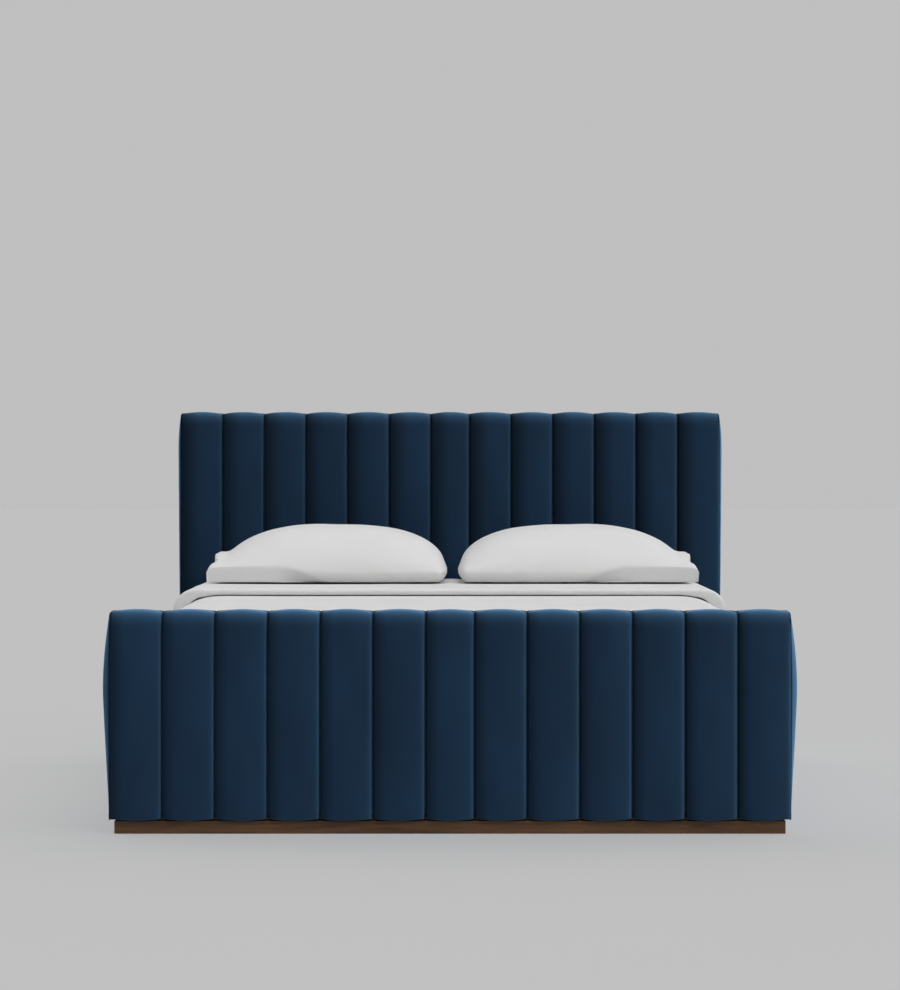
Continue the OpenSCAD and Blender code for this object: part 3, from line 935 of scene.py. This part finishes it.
class Pillow:
    """Shape of a pillow lying flat, in its own frame: its inner end towards +X, its front towards -Y."""

    def __init__(self, low, high):
        self.half = (high.x - low.x) / 2 - 7 * MM
        self.depth = (high.y - low.y) / 2 - 6 * MM
        self.height = high.z - low.z
        self.peak = -0.03 * self.half
        self.boxed_from = -0.30 * self.half
        self.boxed_to = -0.02 * self.half

    def dome(self, x):
        """Height of the filled middle at x."""
        if x < self.peak:
            share = (self.peak - x) / (self.half + self.peak)
            filled_to = 0.86
            filling = max(0.0, 1 - (share / filled_to) ** 2.2) ** 0.4
            empty_end = 0.56 - 0.09 * share
            joined = (filling ** 8 + empty_end ** 8) ** 0.125
            return self.height * joined
        share = (x - self.peak) / (self.half - self.peak)
        seam = 0.21
        return self.height * (seam + (1 - seam) * max(0.0, 1 - share ** 3) ** 0.5)

    def boxed(self, x, rise):
        """1 where the case stands up as a wall, 0 where the filling rounds under; rise is 0 to 1."""
        reach = self.boxed_to + (self.boxed_from - self.boxed_to) * rise
        return min(1.0, max(0.0, (reach - x) / (22 * MM) + 0.5))

    def plan(self, u, v):
        """Place of a point of the plan, u and v from -1 to 1: the outer front corner is a low ear."""
        rounding = 0.008 if u < 0 else 0.10
        pull = 0.020 + 0.057 * ease((v + 0.86) / 0.14) if u < 0 else 0.0
        stretch = 1.02 if u > 0 else 1.0
        waist = 1 - 0.012 * (1 - u * u)
        x = u * self.half * stretch * math.sqrt(1 - rounding * v ** 6) * (1 - pull * abs(u) ** 3)
        y = v * self.depth * math.sqrt(1 - rounding * abs(u) ** 6) * waist
        return x, y

    def edge_height(self, u, v):
        """Height of the pillow's edge, where the wall meets the top."""
        outer = min(1.0, max(0.0, 0.5 - 2.5 * (u + 0.25)))
        corner = (30 + 14 * outer) * MM
        behind_ear = ease((v + 0.75) / 0.14)
        end = 40 * MM * behind_ear * (1 - max(0.0, v) ** 4) * max(0.0, -u) ** 6
        ear = 14 * MM * (1 - behind_ear) * max(0.0, (-u - 0.93) / 0.07) ** 2
        return corner + end - ear

    def top(self, u, v):
        """Height of the upper face at a point of the plan."""
        x = self.plan(u, v)[0]
        edge = self.edge_height(u, v)
        outer_half = ease((self.boxed_from - x) / (180 * MM) + 0.5)
        steep = max(0.0, 1 - abs(v) ** 2.2) ** 0.75
        shelf = max(0.0, 1 - abs(v) ** 3) ** 1.3
        return edge + max(0.0, self.dome(x) - edge) * (steep + (shelf - steep) * outer_half)

    def wall(self, u, v, rise):
        """A point between the bed, where rise is 0, and the pillow's edge."""
        x, y = self.plan(u, v)
        on_front = v < -0.999
        on_long_side = abs(v) > 0.999
        on_end = abs(u) > 0.999
        boxed = self.boxed(x, rise) if on_long_side else float(u < 0)
        tuck = 20 * MM * (1 - rise) ** 2 * (1 - boxed)
        setback = 7 * MM * boxed if on_front else 0.0
        lean = (12 + 15 * ease((x - self.boxed_from + 65 * MM) / (90 * MM))) * MM * (1 - rise) * boxed
        end_lean = 2 * MM * (1 - rise) * boxed
        if on_long_side:
            y -= math.copysign(tuck + setback + lean, v)
        if on_end:
            x -= math.copysign(tuck + end_lean, u)
        return x, y, self.edge_height(u, v) * rise


def pillow_form(name, shape):
    """A closed pillow: a domed top, a low wall all round and a flat underside."""
    cell = 11 * MM
    rises = (0.05, 0.2, 0.4, 0.6, 0.8)
    nx, ny = round(2 * shape.half / cell), round(2 * shape.depth / cell)
    form = bmesh.new()

    def plan_share(i, j):
        return place_across(i, nx, bunched=0.25), place_across(j, ny, bunched=0.25)

    top, under = {}, {}
    for i in range(nx + 1):
        for j in range(ny + 1):
            u, v = plan_share(i, j)
            x, y = shape.plan(u, v)
            if i in (0, nx) or j in (0, ny):
                top[i, j] = form.verts.new(shape.wall(u, v, 1.0))
                under[i, j] = form.verts.new(shape.wall(u, v, 0.0))
            else:
                top[i, j] = form.verts.new((x, y, shape.top(u, v)))
                under[i, j] = form.verts.new((x * 0.96, y * 0.94, 0.0))
    for grid in (top, under):
        for i in range(nx):
            for j in range(ny):
                form.faces.new((grid[i, j], grid[i + 1, j], grid[i + 1, j + 1], grid[i, j + 1]))
    loop = [(i, 0) for i in range(nx)] + [(nx, j) for j in range(ny)]
    loop += [(i, ny) for i in range(nx, 0, -1)] + [(0, j) for j in range(ny, 0, -1)]
    columns = []
    for i, j in loop:
        rows = [form.verts.new(shape.wall(*plan_share(i, j), rise)) for rise in rises]
        columns.append([under[i, j]] + rows + [top[i, j]])
    for a, b in zip(columns, columns[1:] + columns[:1]):
        for n in range(len(rises) + 1):
            form.faces.new((a[n], b[n], b[n + 1], a[n + 1]))
    return from_form(name, form, cotton)


def settle(piece):
    """Fills the case, a little too large for its pillow, on a flat bed, and caps how far it moves."""
    farthest = 7 * MM
    frames = 20
    start = [v.co.copy() for v in piece.data.vertices]
    bed = flat_square("bed_under_pillow", 1.5, cotton)
    bed.modifiers.new("collision", "COLLISION")
    bed.collision.thickness_outer = 2 * MM
    bed.collision.cloth_friction = 30
    cloth = piece.modifiers.new("cloth", "CLOTH")
    fabric = {"quality": 6, "mass": 0.005, "tension_stiffness": 15, "compression_stiffness": 15,
              "shear_stiffness": 5, "bending_stiffness": 0.5, "tension_damping": 10,
              "compression_damping": 10, "use_pressure": True, "uniform_pressure_force": 1.0,
              "shrink_min": -0.03, "shrink_max": -0.03}
    for setting, value in fabric.items():
        setattr(cloth.settings, setting, value)
    cloth.settings.effector_weights.gravity = 0.5
    cloth.collision_settings.distance_min = 2 * MM
    for moment in range(1, frames + 1):
        bpy.context.scene.frame_set(moment)
    settled = bpy.data.meshes.new_from_object(piece.evaluated_get(bpy.context.evaluated_depsgraph_get()))
    piece.modifiers.remove(cloth)
    peak = max(was.z for was in start)
    clearance = min(now.co.z for now in settled.vertices)
    for vertex, was, now in zip(piece.data.vertices, start, settled.vertices):
        move = now.co - was
        move.z -= clearance
        vertex.co = was + move * min(1.0, farthest / max(move.length, 1e-9))
    fit = peak / max(vertex.co.z for vertex in piece.data.vertices)
    for vertex in piece.data.vertices:
        height = vertex.co.z * fit
        weighed_down = 3.5 * MM * max(0.0, 1 - height / (30 * MM))
        rumpled = 2.2 * MM * wave(vertex.co, 0.17, 51) + 1.0 * MM * wave(vertex.co, 0.07, 52)
        rumpled *= min(1.0, height / (90 * MM)) ** 2
        vertex.co.z = max(0.0, height - weighed_down + rumpled)
    bpy.data.meshes.remove(settled)
    bpy.data.objects.remove(bed)
    bpy.context.scene.frame_set(1)


def make_pillows():
    """Both pillows: one is settled, and the other is its mirror image."""
    sink = 1.2 * MM
    low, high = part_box("pillow_left")
    first = pillow_form("pillow_left_case", Pillow(low, high))
    settle(first)
    other_mesh = first.data.copy()
    for vertex in other_mesh.vertices:
        vertex.co.x = -vertex.co.x
    other_mesh.flip_normals()
    second = bpy.data.objects.new("pillow_right_case", other_mesh)
    bpy.context.scene.collection.objects.link(second)
    for piece, node in ((first, "pillow_left"), (second, "pillow_right")):
        low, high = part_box(node)
        middle = (low + high) / 2
        for vertex in piece.data.vertices:
            vertex.co += Vector((middle.x, middle.y, low.z - sink))
        add_subdivision(piece)
        declare_padded(piece, node, node)


make_mattress()
make_duvet()
make_fold()
make_pillows()


# ---- camera, light and floor ----

def make_camera():
    """Level camera straight in front of the foot end, far back with a long lens."""
    distance = 8.215
    eye_level = 0.92
    data = bpy.data.cameras.new("camera")
    data.lens = 119.9
    data.sensor_width = 36.0
    data.shift_y = -0.0303
    data.clip_end = 200.0
    camera = bpy.data.objects.new("camera", data)
    camera.location = (0.0, footboard.face - distance, eye_level)
    camera.rotation_euler = (math.radians(90), 0, 0)
    bpy.context.scene.collection.objects.link(camera)
    bpy.context.scene.camera = camera


def make_sun(name, azimuth, elevation, strength, softness, pieces, state, shadow=True):
    """Soft sun that lights only these pieces, with state INCLUDE, or all but them, with EXCLUDE.

    Azimuth 0 shines from the camera's side, and a positive one from its right.
    """
    data = bpy.data.lights.new(name, "SUN")
    data.energy = strength
    data.angle = math.radians(softness)
    data.use_shadow = shadow
    sun = bpy.data.objects.new(name, data)
    sun.rotation_euler = (math.radians(90 - elevation), 0, math.radians(azimuth))
    bpy.context.scene.collection.objects.link(sun)
    linked = bpy.data.collections.new(f"lit_by_{name}")
    sun.light_linking.receiver_collection = linked
    for piece in pieces:
        linked.objects.link(piece)
    for entry in linked.collection_objects:
        entry.light_linking.link_state = state


def make_world(backdrop, left, right):
    """An even backdrop behind the bed, and in front of it a studio that is brighter on its right."""
    world = bpy.data.worlds.new("studio")
    world.use_nodes = True
    tree = world.node_tree
    tree.nodes.clear()
    way = add_node(tree, "ShaderNodeTexCoord").outputs["Generated"]
    split = add_node(tree, "ShaderNodeSeparateXYZ", {0: way})
    sideways = add_node(tree, "ShaderNodeMapRange", {
        "Value": split.outputs["X"], "From Min": -0.8, "From Max": 0.8,
        "To Min": left, "To Max": right}, interpolation_type="SMOOTHSTEP").outputs[0]
    behind = add_node(tree, "ShaderNodeMapRange", {
        "Value": split.outputs["Y"], "From Min": 0.05, "From Max": 0.35},
        interpolation_type="SMOOTHSTEP").outputs[0]
    level = add_node(tree, "ShaderNodeMix", {"Factor": behind, 2: sideways, 3: backdrop}).outputs[0]
    background = add_node(tree, "ShaderNodeBackground", {"Color": level}).outputs[0]
    add_node(tree, "ShaderNodeOutputWorld", {"Surface": background})
    bpy.context.scene.world = world


def make_floor(shade):
    """A wide sheet of matt grey studio paper."""
    grey = (shade, shade, shade)
    paper = Shader("floor", Roughness=0.95, Specular_IOR_Level=0.0)
    paper.set("Base Color", paper.ramp(paper.noise(0.5), (0.4, grey), (0.6, scaled(grey, 1.002))))
    made = flat_square("floor", 60.0, paper.material)
    return made


make_camera()
floor = make_floor(0.63)
bedding = [piece for piece in bpy.data.objects if cotton.name in piece.material_slots]
headboard_covers = [piece for piece in bpy.data.objects if piece.name.startswith("headboard_")]
make_sun("key", azimuth=80, elevation=22, strength=3.0, softness=15,
         pieces=[floor] + bedding + headboard_covers, state="EXCLUDE")
make_sun("head_key", azimuth=80, elevation=30, strength=1.9, softness=15,
         pieces=headboard_covers, state="INCLUDE")
make_sun("top_light", azimuth=0, elevation=80, strength=0.8, softness=30,
         pieces=[floor] + bedding, state="EXCLUDE")
make_sun("bed_light", azimuth=35, elevation=40, strength=0.67, softness=50,
         pieces=bedding, state="INCLUDE")
make_sun("overhead", azimuth=0, elevation=75, strength=1.4, softness=80,
         pieces=[floor], state="EXCLUDE")
make_sun("floor_fill", azimuth=0, elevation=90, strength=1.635, softness=10,
         pieces=[floor], state="INCLUDE", shadow=False)
make_world(backdrop=0.5245, left=0.05, right=0.36)
bpy.context.scene.view_settings.view_transform = "Standard"


# ---- materials of the CAD's own pieces, some of which stay in sight ----

SLOT_MATERIALS = {"plywood": plywood, "zinc": zinc, "velvet": velvet, "ticking": ticking,
                  "bedding": cotton, "pine": pine["X"], "walnut": walnut["X"]}
for part in frame["record"]["subparts"]:
    cad_mesh = frame["nodes"][part["node"]].data
    cad_mesh.materials.clear()
    cad_mesh.materials.append(SLOT_MATERIALS[part["material_slot"]])
